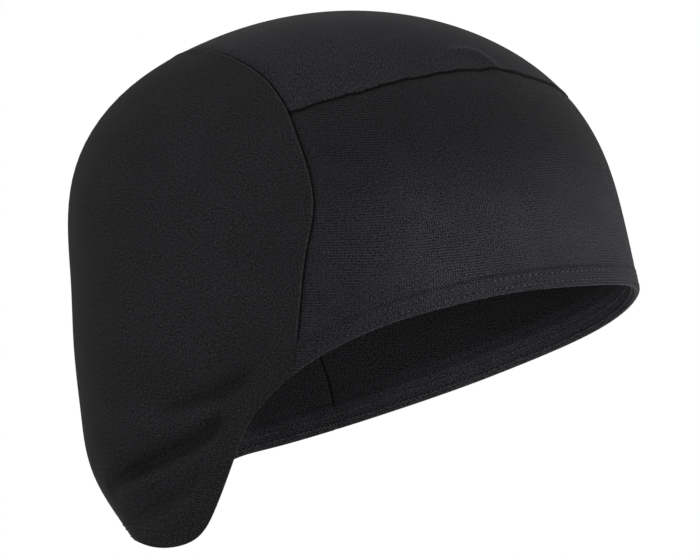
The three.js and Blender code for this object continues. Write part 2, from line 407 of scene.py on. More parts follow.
hem_line = smooth_line(HEM)
right_ear_seam = smooth_line(RIGHT_EAR_SEAM)
crown_back_seam = smooth_line(CROWN_BACK_SEAM)
left_ear_seam = smooth_line(LEFT_EAR_SEAM)
forehead_seam = joined(*(smooth_line(marks) for marks in (RIGHT_CROWN_SEAM, FOREHEAD_SEAM, LEFT_CROWN_SEAM)))
rear_seam = joined(right_ear_seam, crown_back_seam, left_ear_seam)


# Panels


# One face of a panel: pattern places, faces over them, the rim in order, and places on a square map
Sheet = namedtuple("Sheet", "places faces rim flat")

# Cell sizes from an edge inward, in millimetres: the first cell, the cells beside the edge, and how far they
# reach
Edge = namedtuple("Edge", "first fine reach")
SEAM_EDGE = Edge(0.12, 0.4, 1.6)
HEM_EDGE = Edge(0.1, 0.42, 9.6)
# How much each cell grows over the one before it, beside the edge and further in
FINE_GROWTH = 1.5
GROWTH = 1.3
# Size of the top panel's cells against those of the others
TOP_CELL = 0.8


def edge_steps(edge, cell, length):
    """Distances from an edge that grow from fine cells to full ones, up to half of the length."""
    distances = [0.0]
    step = edge.first
    while step < cell and distances[-1] < length / 2:
        distances.append(distances[-1] + step)
        fine = distances[-1] < edge.reach
        step = min(step * FINE_GROWTH, edge.fine) if fine else step * GROWTH
    return np.array(distances)


def graded(length, near, far, cell):
    """Shares of a length, finer towards both ends."""
    near_steps = edge_steps(near, cell, length)
    far_steps = length - edge_steps(far, cell, length)[::-1]
    cells = max(1, round((far_steps[0] - near_steps[-1]) / cell))
    middle = np.linspace(near_steps[-1], far_steps[0], cells + 1)
    return np.concatenate([near_steps[:-1], middle, far_steps[1:]]) / length


def quads(*corners):
    """Faces from four grids with the numbers of their corners."""
    return np.stack([corner.ravel() for corner in corners], axis=-1).tolist()


def patch_sheet(start, end, first, last, column_edges, row_edges, cell):
    """The space between four lines as columns and rows. start and end run from first to last."""
    width = (start.lengths[-1] + end.lengths[-1]) / 2 / MM
    height = (first.lengths[-1] + last.lengths[-1]) / 2 / MM
    s = graded(width, *column_edges, cell)
    t = graded(height, *row_edges, cell)
    columns, rows = len(s), len(t)
    bottom, top = part_way(start, s), part_way(end, s)
    left, right = part_way(first, t), part_way(last, t)
    s_grid, t_grid = s[:, None, None], t[None, :, None]
    places = bottom[:, None] * (1 - t_grid) + top[:, None] * t_grid
    places = places + left[None] * (1 - s_grid) + right[None] * s_grid
    places -= (bottom[0] * (1 - s_grid) + bottom[-1] * s_grid) * (1 - t_grid)
    places -= (top[0] * (1 - s_grid) + top[-1] * s_grid) * t_grid

    index = np.arange(columns * rows).reshape(columns, rows)
    faces = quads(index[:-1, :-1], index[1:, :-1], index[1:, 1:], index[:-1, 1:])
    rim = np.concatenate([index[:-1, 0], index[-1, :-1], index[:0:-1, -1], index[0, :0:-1]])
    flat = np.stack(np.broadcast_arrays(s[:, None], t[None, :]), axis=-1).reshape(-1, 2)
    return Sheet(places.reshape(-1, 2), faces, rim, flat)


def disc_sheet(outline, edge, cell):
    """The space inside a closed line as rings that shrink to a point, anticlockwise from outside."""
    columns = round(outline.lengths[-1] / MM / cell)
    ring = part_way(outline, np.arange(columns) / columns)
    centre = ring.mean(axis=0)
    reach = np.linalg.norm(on_cloth(ring) - on_cloth(centre), axis=1).mean() / MM
    near_steps = edge_steps(edge, cell, reach)
    cells = round((reach - near_steps[-1]) / cell)
    steps = np.concatenate([near_steps, np.linspace(near_steps[-1], reach, cells + 1)[1:-1]])
    places = centre + (ring[None] - centre) * (1 - steps / reach)[:, None, None]

    rings = len(steps)
    index = np.arange(rings * columns).reshape(rings, columns)
    after = np.roll(index, -1, axis=1)
    faces = quads(index[:-1], after[:-1], after[1:], index[1:])
    faces += [[a, b, rings * columns] for a, b in zip(index[-1].tolist(), after[-1].tolist())]
    places = np.concatenate([places.reshape(-1, 2), [centre]])
    low, high = places.min(axis=0), places.max(axis=0)
    return Sheet(places, faces, index[0], (places - low) / (high - low))


# How round the hem's edge is, as a share of its thickness
HEM_ROLL = 0.47
# Relief near the edges, in metres. The hem stands full, is drawn in at its stitch rows and has a groove under
# the cover stitches. The reaches are how far from a seam its gap, the sway of its line, its raised or sunken
# edge and the shade beside it fade out.
HEM_FADE = 1.5 * MM
HEM_INSIDE_FADE = 4.5 * MM
HEM_FULLNESS = 0.2 * MM
FULLNESS_FADE = 1.6 * MM
ROW_DEPTH = 0.17 * MM
ROW_REACH = 0.6 * MM
GROOVE_DEPTH = 0.25 * MM
GROOVE_REACH = 0.55 * MM
GAP_REACH = 0.5 * MM
SWAY_REACH = 2.5 * MM
RAISED_REACH = 2.6 * MM
SUNKEN_REACH = 1.5 * MM
SHADE_REACH = 1.7 * MM
INNER_GAP = 0.08 * MM
# Radius of a panel's inner edge at a seam against that of its outer edge
INNER_ROLL = 1.5
# How much of a seam's gap, of its raised or sunken edge and of its roundness is left in the flat hem
GAP_IN_HEM = 0.1
EDGE_IN_HEM = 0.25
ROLL_IN_HEM = 0.3
# Where creases fade out, from below the top of the folded hem to above it
CREASE_FADE = (-MM, 3 * MM)
# Share of light lost in the deepest creases, and the depths where it starts and is full
CREASE_SHADE = 0.36
SHADED_DEPTHS = (0.4 * MM, 3.2 * MM)


def smooth_step(low, high, values):
    share = np.clip((values - low) / (high - low), 0, 1)
    return share * share * (3 - 2 * share)


def rolled(distance, radius):
    """How far the face of the cloth falls where its edge rolls in, by the distance from the edge."""
    inside = np.clip(radius - distance, 0, radius)
    return radius - np.sqrt(np.maximum(radius**2 - inside**2, 0))


def ripples(along):
    return sum(
        ripple.height * MM * np.sin(TURN * along / (ripple.wave * MM) + ripple.start)
        for ripple in SEAM_RIPPLES
    )


def hem_fade(from_hem, cloth):
    """0 in the folded hem, where the seams lie flat, and 1 above it."""
    return smooth_step(cloth.hem_depth - HEM_FADE, cloth.hem_depth + HEM_FADE, from_hem)


def left_over(share, fade):
    """A share in the hem, growing to 1 above it."""
    return share + (1 - share) * fade


def outer_lift(from_hem, cloth):
    """How far the outer face stands off the plain cloth near the hem: a full fold with two rows drawn in."""
    stitches = bpy.context.scene.cap_stitches
    full = 1 - smooth_step(stitches.cover_row, stitches.cover_row + FULLNESS_FADE, from_hem)
    rows = (stitches.first_row, stitches.second_row)
    drawn = sum(bell(from_hem - row, ROW_REACH) for row in rows)
    groove = bell(from_hem - stitches.cover_row, GROOVE_REACH)
    lift = HEM_FULLNESS * full - ROW_DEPTH * drawn - GROOVE_DEPTH * groove
    return lift - rolled(from_hem, cloth.hem_wall * HEM_ROLL)


def inner_depth(from_hem, cloth):
    """How deep the inner face lies under the plain cloth, with the hem's turned-in layer."""
    fold = 1 - smooth_step(cloth.hem_depth, cloth.hem_depth + HEM_INSIDE_FADE, from_hem)
    depth = cloth.wall + (cloth.hem_wall - cloth.wall) * fold
    return depth - rolled(from_hem, cloth.hem_wall * HEM_ROLL)


# A seam as one panel meets it. side: 1 if the panel lies left of the line as seen from outside, or -1;
# proud: how far the panel's edge stands out, in millimetres; sway: how strongly the line sways with its
# ripples; shade: share of the light that the other panel's edge keeps off
Seam = namedtuple("Seam", "line side proud sway shade")


def panel_faces(sheet, seams, cloth):
    """Outer and inner points of a panel, their place in millimetres along the hem, from the hem and from the
    nearest seam, and the share of light kept off them in creases and under edges."""
    base = on_cloth(sheet.places)
    normals = outward(on_cloth, sheet.places)
    from_hem, along_hem, _ = nearest_on(hem_line, base)
    fade = hem_fade(from_hem, cloth)
    creases = crease_depth(base) * smooth_step(*CREASE_FADE, from_hem - cloth.hem_depth)
    shade = CREASE_SHADE * smooth_step(*SHADED_DEPTHS, creases)
    lift = outer_lift(from_hem, cloth) - creases
    depth = inner_depth(from_hem, cloth) + creases
    outer_shift = np.zeros_like(base)
    inner_shift = np.zeros_like(base)
    from_seam = np.full(len(base), np.inf)
    for seam in seams:
        distance, along, step = nearest_on(seam.line, base)
        tangents = unit(seam.line.points[step + 1] - seam.line.points[step])
        inward = np.cross(normals, tangents) * seam.side
        edge = inward * np.exp(-distance / GAP_REACH)[:, None]
        outer_shift += edge * (cloth.seam_gap / 2 * left_over(GAP_IN_HEM, fade))[:, None]
        inner_shift -= edge * INNER_GAP
        sway = seam.sway * seam.side * ripples(along) * fade * np.exp(-distance / SWAY_REACH)
        outer_shift += inward * sway[:, None]
        reach = RAISED_REACH if seam.proud > 0 else SUNKEN_REACH
        lift += seam.proud * MM * left_over(EDGE_IN_HEM, fade) * bell(distance, reach)
        lift -= rolled(distance, cloth.seam_roll) * left_over(ROLL_IN_HEM, fade)
        lift += ripples(along) * fade * np.exp(-distance / RIPPLE_REACH)
        depth -= rolled(distance, cloth.seam_roll * INNER_ROLL) * fade
        shade += seam.shade * fade * bell(distance, SHADE_REACH)
        from_seam = np.minimum(from_seam, distance)
    outer = base + outer_shift + normals * lift[:, None]
    inner = base + inner_shift - normals * depth[:, None]
    return outer, inner, np.stack([along_hem, from_hem, from_seam], axis=-1) / MM, shade


def arc_table():
    """Lengths over the form by level and turn: down from the crown, and round the level from the front."""
    turns = np.radians(np.arange(-360, 181, 3))
    levels = np.linspace(0, len(SECTIONS) - 1, 241)
    points = form_point(turns[None, :], levels[:, None]) / MM
    return turns, levels, lengths_along(points), lengths_along(points, 1)


TABLE_TURNS, TABLE_LEVELS, DOWN, AROUND = arc_table()


def look_up(table, turn, level):
    column = np.interp(turn, TABLE_TURNS, np.arange(len(TABLE_TURNS)))
    row = np.interp(level, TABLE_LEVELS, np.arange(len(TABLE_LEVELS)))
    i = np.minimum(column.astype(int), len(TABLE_TURNS) - 2)
    j = np.minimum(row.astype(int), len(TABLE_LEVELS) - 2)
    s, t = column - i, row - j
    low = table[j, i] * (1 - s) + table[j, i + 1] * s
    high = table[j + 1, i] * (1 - s) + table[j + 1, i + 1] * s
    return low * (1 - t) + high * t


def grain_around(places, middle):
    """Where each place lies in the knit, in millimetres: round the head from the panel's middle, and down."""
    angle = np.arctan2(places[:, 0], -places[:, 1])
    middle = math.radians(middle)
    angle = np.where(angle - middle > math.pi, angle - TURN, angle)
    level = np.hypot(places[:, 0], places[:, 1])
    around = look_up(AROUND, angle, level) - look_up(AROUND, np.full_like(angle, middle), level)
    return np.stack([around, look_up(DOWN, angle, level), np.zeros(len(places))], axis=-1)


def grain_over(places):
    """Where each place of the top panel lies in the knit, in millimetres: across and along the head."""
    return on_form(places) / MM * [1, 1, 0]


# A face's size on the square map, the margin beside it, and the width of the rim around the outer face
MAP_SIZE = (0.94, 0.44)
MAP_MARGIN = 0.03
MAP_RIM = 0.01


def bake_map(sheet):
    """Corner places on a square map: the outer face below, the inner above, the rim around the outer face."""
    outer = sheet.flat * MAP_SIZE + MAP_MARGIN
    inner = outer + [0, 0.5]
    middle = outer[sheet.rim].mean(axis=0)
    skirt = outer.copy()
    skirt[sheet.rim] += np.sign(outer[sheet.rim] - middle) * MAP_RIM
    return outer, inner, skirt


def new_piece(name, verts, faces, materials):
    """A smooth mesh object in the scene."""
    mesh = bpy.data.meshes.new(name)
    mesh.from_pydata(verts, [], faces)
    mesh.shade_smooth()
    for material in materials:
        mesh.materials.append(material)
    piece = bpy.data.objects.new(name, mesh)
    bpy.context.scene.collection.objects.link(piece)
    return piece


def keep_attribute(mesh, name, values):
    """Keeps a number or a place for each point of a mesh, for its materials."""
    kind, field = ("FLOAT", "value") if values.ndim == 1 else ("FLOAT_VECTOR", "vector")
    layer = mesh.attributes.new(name, kind, "POINT")
    layer.data.foreach_set(field, values.astype(np.float32).ravel())


def sew_panel(part, sheet, seams, grain, knit):
    """Makes the closed cloth wall of a panel, in place of its node in the frame."""
    slot = part + "_cloth"
    cloth = bpy.context.scene.cap_cloth
    outer, inner, hem_place, shade = panel_faces(sheet, seams, cloth)
    count = len(outer)
    after = np.roll(sheet.rim, -1)
    faces = list(sheet.faces)
    faces += [[corner + count for corner in reversed(face)] for face in sheet.faces]
    faces += quads(sheet.rim + count, after + count, after, sheet.rim)

    verts = np.concatenate([outer, inner]).tolist()
    panel = new_piece(part + "_panel_cloth", verts, faces, panel_materials(slot, knit))
    mesh = panel.data
    inside = np.zeros(len(faces), dtype=np.int32)
    inside[len(sheet.faces) : 2 * len(sheet.faces)] = 1
    mesh.polygons.foreach_set("material_index", inside)

    keep_attribute(mesh, "grain", np.concatenate([grain, grain]))
    keep_attribute(mesh, "hem", np.concatenate([hem_place, hem_place]))
    keep_attribute(mesh, "shade", np.concatenate([shade, 0 * shade]))

    outer_map, inner_map, skirt = bake_map(sheet)
    corners = np.zeros(len(mesh.loops), dtype=np.int32)
    mesh.loops.foreach_get("vertex_index", corners)
    flat = np.concatenate([outer_map, inner_map])[corners]
    first_rim_corner = sum(len(face) for face in faces[: 2 * len(sheet.faces)])
    rim_corners = corners[first_rim_corner:]
    places = rim_corners % count
    below = (rim_corners >= count)[:, None]
    flat[first_rim_corner:] = np.where(below, skirt[places], outer_map[places])
    layer = mesh.uv_layers.new(name="OFBake")
    layer.uv.foreach_set("vector", flat.astype(np.float32).ravel())

    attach(panel, "root")
    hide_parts(part + "_panel")


# Threads


# Painted light on the threads: from the ears to the forehead, in metres from the crown's middle, they grow
# paler
PAINTED_LIGHT_LIMITS = (0.01, -0.06)
# Least and greatest factor of a stitch's tone, which differs from stitch to stitch
STITCH_TONES = (0.45, 1.25)


def thread_mesh(paths, radius, nape_tone=0.12, sides=6):
    """Short tapering threads as one mesh, with painted light for each point that makes them paler in front,
    and a tone that differs at random from stitch to stitch.
    """
    points, ups = paths
    count, rings = points.shape[:2]
    swell = np.sqrt(np.maximum(1 - np.linspace(-1, 1, rings) ** 4, 0.02))
    along = unit(np.gradient(points, axis=1))
    across = unit(np.cross(along, ups[:, None]))
    up = np.cross(across, along)
    turns = TURN * np.arange(sides) / sides
    spokes = np.cos(turns)[:, None] * across[:, :, None] + np.sin(turns)[:, None] * up[:, :, None]
    verts = points[:, :, None] + spokes * (radius * swell)[:, None, None]
    index = np.arange(count * rings * sides).reshape(count, rings, sides)
    after = np.roll(index, -1, axis=2)
    faces = quads(index[:, :-1], index[:, 1:], after[:, 1:], after[:, :-1])
    faces += index[:, 0].tolist()
    faces += index[:, -1, ::-1].tolist()
    front = smooth_step(*PAINTED_LIGHT_LIMITS, points[:, 0, 1])
    uneven = np.random.default_rng(count).uniform(*STITCH_TONES, count)
    tones_and_light = (nape_tone + (1 - nape_tone) * front) * uneven
    return verts.reshape(-1, 3), faces, np.repeat(tones_and_light, rings * sides)


def lay_threads(name, material, meshes):
    """One object from the meshes of several runs of thread."""
    verts = []
    faces = []
    for part_verts, part_faces, _ in meshes:
        start = len(verts)
        verts += part_verts.tolist()
        faces += [[corner + start for corner in face] for face in part_faces]
    thread = new_piece(name, verts, faces, [material])
    keep_attribute(thread.data, "tone", np.concatenate([tones_and_light for _, _, tones_and_light in meshes]))
    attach(thread, "root")


# Heights over the cloth of a stitch's ends and middle, in metres
Arch = namedtuple("Arch", "ends middle")
ROW_ARCH = Arch(-0.25 * MM, 0.12 * MM)
COVER_ARCH = Arch(-0.1 * MM, 0.1 * MM)
LOOP_ARCH = Arch(-0.05 * MM, -0.28 * MM)
# How far the slanted stitches lean along the hem, in pitches, and half of their width across it
COVER_LEAN = 0.35
LOOP_LEAN = 0.35
COVER_HALF = 0.6 * MM
LOOP_HALF = 0.5 * MM
# The loops inside: how far the lower row lies below its stitches, loops to a stitch, their thickness against
# the stitches' thread, and their painted light at the nape
LOOP_DROP = 0.6 * MM
LOOPS_PER_STITCH = 1.9
LOOP_THICKNESS = 0.9
LOOP_NAPE_LIGHT = 0.7


def stitch_paths(starts, ends, lift, arch):
    """Arched stitches between pairs of places, as points and upward directions. lift: of the face there."""
    rings = 5
    share = np.linspace(0, 1, rings)
    spots = starts[:, None] * (1 - share[:, None]) + ends[:, None] * share[:, None]
    normals = outward(on_cloth, spots)
    heights = lift + (arch.ends + (arch.middle - arch.ends) * np.sin(math.pi * share))
    return on_cloth(spots) + normals * heights[..., None], normals[:, rings // 2]


def stitches_along(row, pitch, length, lift, arch):
    """Paths of stitches that run along the hem at a height above its edge."""
    line = line_of(offset_line(hem_line, row))
    starts = np.arange(pitch / 2, line.lengths[-1] - length, pitch)
    places = [part_way(line, along / line.lengths[-1]) for along in (starts, starts + length)]
    return stitch_paths(*places, lift, arch)


def stitches_across(row, half, pitch, leans, lift, arch):
    """Paths of stitches that cross a height above the hem's edge, over a half width to each side of it.
    leans: how far the lower and the upper end lie forward, in pitches."""
    lines = [line_of(offset_line(hem_line, row + side * half)) for side in (-1, 1)]
    count = int(lines[0].lengths[-1] / pitch)
    middles = np.arange(count) + 0.5
    places = [part_way(line, (middles + lean) / count) for line, lean in zip(lines, leans)]
    return stitch_paths(*places, lift, arch)


# Materials


class Value:
    """A number that changes over a surface, so that a shader's formulas can be written like plain ones."""

    def __init__(self, tree, socket):
        self.tree = tree
        self.socket = socket

    def calculate(self, operation, *terms):
        made = node(self.tree, "ShaderNodeMath", operation=operation)
        for socket, term in zip(made.inputs, terms):
            feed(self.tree, socket, term)
        return Value(self.tree, made.outputs[0])

    def __add__(self, other):
        return self.calculate("ADD", self, other)

    def __sub__(self, other):
        return self.calculate("SUBTRACT", self, other)

    def __rsub__(self, other):
        return self.calculate("SUBTRACT", other, self)

    def __mul__(self, other):
        return self.calculate("MULTIPLY", self, other)

    def __truediv__(self, other):
        return self.calculate("DIVIDE", self, other)

    def __rtruediv__(self, other):
        return self.calculate("DIVIDE", other, self)

    def __pow__(self, other):
        return self.calculate("POWER", self, other)

    def __abs__(self):
        return self.calculate("ABSOLUTE", self)

    def below(self, other):
        """1 where it is less than the other, and 0 elsewhere."""
        return self.calculate("LESS_THAN", self, other)

    def at_most(self, other):
        return self.calculate("MINIMUM", self, other)

    def at_least(self, other):
        return self.calculate("MAXIMUM", self, other)

    def wave(self):
        """A wave between -1 and 1, with its crests at whole numbers."""
        return self.calculate("COSINE", self * TURN)

    def ranged(self, low, high, to_low=0.0, to_high=1.0):
        """A smooth change from one value to another between two limits."""
        made = node(self.tree, "ShaderNodeMapRange", interpolation_type="SMOOTHSTEP")
        feed_inputs(self.tree, made, Value=self, From_Min=low, From_Max=high, To_Min=to_low, To_Max=to_high)
        return Value(self.tree, made.outputs["Result"])


def node(tree, kind, **settings):
    made = tree.nodes.new(kind)
    for name, value in settings.items():
        setattr(made, name, value)
    return made


def feed(tree, socket, value):
    """Links a socket to a value that changes or to another socket, or sets it to a constant."""
    if isinstance(value, Value):
        value = value.socket
    if isinstance(value, bpy.types.NodeSocket):
        tree.links.new(value, socket)
    else:
        socket.default_value = value


def feed_inputs(tree, made, **values):
    """Feeds a node's inputs by their names, with underscores for spaces, and returns the node."""
    for name, value in values.items():
        feed(tree, made.inputs[name.replace("_", " ")], value)
    return made


def attribute(tree, name, output="Vector"):
    """A place or a value that the mesh keeps for each point."""
    return Value(tree, node(tree, "ShaderNodeAttribute", attribute_name=name).outputs[output])


def parts(tree, vector):
    """The three parts of a place."""
    split = node(tree, "ShaderNodeSeparateXYZ")
    feed(tree, split.inputs[0], vector)
    return [Value(tree, socket) for socket in split.outputs]


def noise(tree, vector, scale, detail):
    made = feed_inputs(tree, node(tree, "ShaderNodeTexNoise"), Vector=vector, Scale=scale, Detail=detail)
    return Value(tree, made.outputs["Fac"])


def mixed_colour(tree, share, first, second):
    made = node(tree, "ShaderNodeMix", data_type="RGBA", clamp_factor=False)
    feed(tree, made.inputs["Factor"], share)
    colours = [socket for socket in made.inputs if socket.type == "RGBA"]
    feed(tree, colours[0], first)
    feed(tree, colours[1], second)
    return next(socket for socket in made.outputs if socket.type == "RGBA")


def new_group(name, inputs, outputs):
    """An empty shader node group with named sockets, with its inputs and outputs."""
    tree = bpy.data.node_groups.new(name, "ShaderNodeTree")
    for socket, default in inputs.items():
        kind = "NodeSocketVector" if default is None else "NodeSocketFloat"
        made = tree.interface.new_socket(socket, in_out="INPUT", socket_type=kind)
        if default is not None:
            made.default_value = default
    for socket in outputs:
        tree.interface.new_socket(socket, in_out="OUTPUT", socket_type="NodeSocketFloat")
    entry = node(tree, "NodeGroupInput").outputs
    given = {socket: Value(tree, entry[socket]) for socket in inputs}
    return tree, given, node(tree, "NodeGroupOutput").inputs


def group_node(tree, group, **values):
    """What a group puts out in a material, by its outputs' names."""
    made = feed_inputs(tree, node(tree, "ShaderNodeGroup", node_tree=group), **values)
    return {socket.name: Value(tree, socket) for socket in made.outputs}


# Height of the fuzz against that of the pattern, and how much of the pattern full fuzz covers
FUZZ_HEIGHT = 8.0
FUZZ_COVER = 0.7


def knit_group():
    """Courses, wales and fuzz of a knit, from its place in millimetres."""
    inputs = {
        "Grain": None,
        "Course pitch": 1.0,
        "Wale pitch": 0.7,
        "Rib": 0.5,
        "Rows": 0.0,
        "Fuzz": 0.5,
        "Fuzz scale": 1.8,
    }
    tree, given, made = new_group("Knit courses", inputs, ("Height", "Shade"))
    grain = given["Grain"]
    x, y, _ = parts(tree, grain)
    wander = noise(tree, grain, 0.04, 2.0) * 1.6
    course_wave = (y / given["Course pitch"] + wander).wave()
    wale_wave = (x / given["Wale pitch"] + wander).wave()
    rib = given["Rib"] + noise(tree, grain, 0.12, 1.0).ranged(0.35, 0.65, -0.25, 0.25)
    rows = noise(tree, grain, 0.035, 1.0).ranged(0.4, 0.6, 0.0, 2.0) * given["Rows"]
    pattern = wale_wave * rib + course_wave * wale_wave * (1.0 - rib) + course_wave * rows
    patchy = noise(tree, grain, 0.16, 2.0).ranged(0.35, 0.65, 0.7, 1.25)
    fuzz = (noise(tree, grain, given["Fuzz scale"], 1.0) - 0.5) * given["Fuzz"] * FUZZ_HEIGHT * patchy
    height = (pattern * (1.0 - given["Fuzz"] * FUZZ_COVER) + fuzz) * 0.5 + 0.5
    feed(tree, made["Height"], height)
    feed(tree, made["Shade"], height.at_most(1.7).at_least(-0.1))
    return tree


def lint_group():
    """Sparse pale specks of lint, from the place in the knit in millimetres."""
    inputs = {"Grain": None, "Spacing": 3.0, "Size": 0.12, "Share": 0.3}
    tree, given, made = new_group("Lint", inputs, ("Mask",))
    cells = node(tree, "ShaderNodeTexVoronoi")
    feed_inputs(tree, cells, Vector=given["Grain"], Scale=1.0 / given["Spacing"])
    pick = node(tree, "ShaderNodeSeparateColor")
    feed(tree, pick.inputs[0], cells.outputs["Color"])
    first, second = (Value(tree, pick.outputs[name]) for name in ("Red", "Green"))
    size = given["Size"] * second.ranged(0.0, 1.0, 0.4, 1.2) / given["Spacing"]
    speck = Value(tree, cells.outputs["Distance"]).ranged(size, size * 0.5)
    feed(tree, made["Mask"], speck * first.below(given["Share"]))
    return tree


def hem_group():
    """Needle holes and drawn-in cloth of the hem's stitch rows, from the place along and above its edge, with
    painted shade in the holes and in the groove under the cover stitches.
    """
    inputs = {
        "Place": None,
        "Pitch": 2.2,
        "First row": 2.0,
        "Second row": 5.1,
        "Cover row": 6.8,
        "Cover depth": 1.0,
    }
    tree, given, made = new_group("Hem stitching", inputs, ("Height", "Dark"))
    along, above, _ = parts(tree, given["Place"])
    needle = ((along / given["Pitch"]).wave() * 0.5 + 0.5) ** 3.0
    first = abs(above - given["First row"]).ranged(0.55, 0.1)
    second = abs(above - given["Second row"]).ranged(0.55, 0.1)
    hole = first * needle + second * needle
    # Painted shade in the groove under the cover stitches
    cover = abs(above - given["Cover row"]).ranged(0.65, 0.25) * given["Cover depth"]
    feed(tree, made["Height"], hole * -1.0)
    feed(tree, made["Dark"], (hole * 0.6).at_least(cover))
    return tree


def shared_group(name, make):
    """A node group that several materials use, made once."""
    return bpy.data.node_groups.get(name) or make()


# A knit's finish. course, wale: pitches in millimetres; rib, rows: how much its wales and its courses show as
# lines; fuzz, grit: how strong its fuzz is, and its spots to a millimetre; depth: height of its relief in
# millimetres; contrast: how far its crests and valleys differ from its colour; slack: painted light and
# shade, how much darker it is high up and lighter low down; ears: how much of that painted light it
# loses beside the ears; near: painted shade, how much darker it is near its seams; hem, hem_end: how much
# lighter its hem is, and the hem beside a seam, as painted light on the inner face; edge: painted highlight,
# how much lighter its edge at a seam is; lint: share of its places with lint; sheen: of its fibres at a grazing
# angle
Knit = namedtuple(
    "Knit",
    "course wale rib rows fuzz grit depth contrast slack ears near hem hem_end edge lint "
    "roughness specular sheen",
)
REAR_KNIT = Knit(0.9, 0.8, 0.4, 0.1, 0.9, 1.6, 0.08, 1.2, 0, 0, 0.14, -0.1, -0.1, 1.3, 0.25, 0.65, 0.2, 0.04)
TOP_KNIT = REAR_KNIT._replace(
    grit=1.9, depth=0.06, near=0.1, hem=0, hem_end=0, edge=0.2, specular=0.22, sheen=0.1
)
FRONT_KNIT = Knit(
    0.95, 0.86, 0.45, 0.45, 0.62, 1.9, 0.3, 3.5, 0.55, 0.68, 0.1, -0.08, -0.08, 0, 0.2, 0.5, 0.18, 0.1
)
REAR_INSIDE = Knit(1.1, 1.0, 0.4, 0.3, 0.8, 1.6, 0.1, 1.3, 0, 0, 0, 0.5, 0.5, 0, 0.15, 0.8, 0.15, 0.05)
FRONT_INSIDE = REAR_INSIDE._replace(hem=1.25)

# Shares of a knit's contrast that darken its valleys and lighten its crests
VALLEY_SHARE = 0.54
CREST_SHARE = 0.46

# Where the cloth's tone and its painted light and shade change, in millimetres: down from the crown's middle,
# round the head from the panel's middle, up from the hem's edge, and away from a seam
Span = namedtuple("Span", "low high")
PAINTED_LIGHT_DOWN = Span(103.0, 147.0)
PAINTED_LIGHT_AROUND = Span(92.0, 146.0)
INNER_EDGE_SHADE = Span(0.3, 1.8)
HEM_TOP = Span(7.0, 8.5)
HEM_TOP_INSIDE = Span(9.5, 15.0)
SEAM_FOOT = Span(8.0, 11.0)
SHADED_NEAR_SEAM = Span(8.0, 40.0)
HEM_END = Span(0.0, 55.0)
SEAM_SHADOW = Span(0.05, 0.35)
SEAM_SHADOW_INSIDE = Span(0.05, 0.65)
HIGHLIGHT_EDGE = 0.65
HIGHLIGHT_WIDTH = Span(0.05, 0.35)


def new_material(name):
    material = bpy.data.materials.new(name)
    material.use_nodes = True
    return material, material.node_tree, material.node_tree.nodes["Principled BSDF"]


def raise_relief(tree, shader, height, distance):
    bump = feed_inputs(tree, node(tree, "ShaderNodeBump"), Distance=distance, Height=height)
    feed(tree, shader.inputs["Normal"], bump.outputs[0])


def cloth_tone_and_light(tree, knit, outside):
    """How light the cloth is: unevenly toned, with painted light and shade: a painted highlight low on the
    front panel that fades high up and beside the ears, a hem lighter inside as painted light and darker
    outside, painted shade at the inner hem's edge, near and in its seams and in its creases, and a painted
    highlight at its edge beside a seam.
    """
    grain = attribute(tree, "grain")
    around, down, _ = parts(tree, grain)
    _, from_hem, from_seam = parts(tree, attribute(tree, "hem"))
    tone = noise(tree, grain, 0.06, 4.0).ranged(0.3, 0.7, 0.92, 1.08)
    # Painted light and shade on the front panel: lighter low down and in front, darker high up and beside the
    # ears
    painted_light = down.ranged(*PAINTED_LIGHT_DOWN, 0.0, 1.5 * knit.slack)
    painted_light *= abs(around).ranged(*PAINTED_LIGHT_AROUND, 1.0, 1 - knit.ears)
    tone *= painted_light + (1 - knit.slack)
    # Painted light on the inner face's turned-in hem; on the outer face of the rear and front panels the hem is
    # darker
    hem = from_seam.ranged(*HEM_END, 1 + knit.hem_end, 1 + knit.hem)
    tone *= from_hem.ranged(*(HEM_TOP if outside else HEM_TOP_INSIDE), hem, 1.0)
    # Painted shade along the inner face's hem edge
    tone *= from_hem.ranged(*INNER_EDGE_SHADE, 0.65 + 0.35 * outside, 1.0)
    # Painted shade near the seams
    tone *= from_seam.ranged(*SHADED_NEAR_SEAM, 1 - knit.near, 1.0)
    above_hem = from_hem.ranged(*SEAM_FOOT)
    # Painted shadow in the seam's groove
    tone *= 1.0 - from_seam.ranged(*(SEAM_SHADOW if outside else SEAM_SHADOW_INSIDE), 0.8, 0.0) * above_hem
    # Painted highlight on a panel's edge beside a seam
    tone *= abs(from_seam - HIGHLIGHT_EDGE).ranged(*HIGHLIGHT_WIDTH, knit.edge, 0.0) * above_hem + 1.0
    return tone * (1.0 - attribute(tree, "shade", "Fac"))


# Painted shade in a needle hole and in the cover stitches' groove, as the share of light left there; lint's
# colour from the cloth's by a factor and an addition, and the depth of a hole and the height of lint in
# millimetres
HOLE_LIGHT = 0.3
LINT_FACTOR = 4
LINT_LIGHT = 0.06
HOLE_DEPTH = 0.22
LINT_HEIGHT = 0.05
# Colour of a thread in the shade of the cloth
DARK_THREAD = (0.012, 0.012, 0.013, 1)


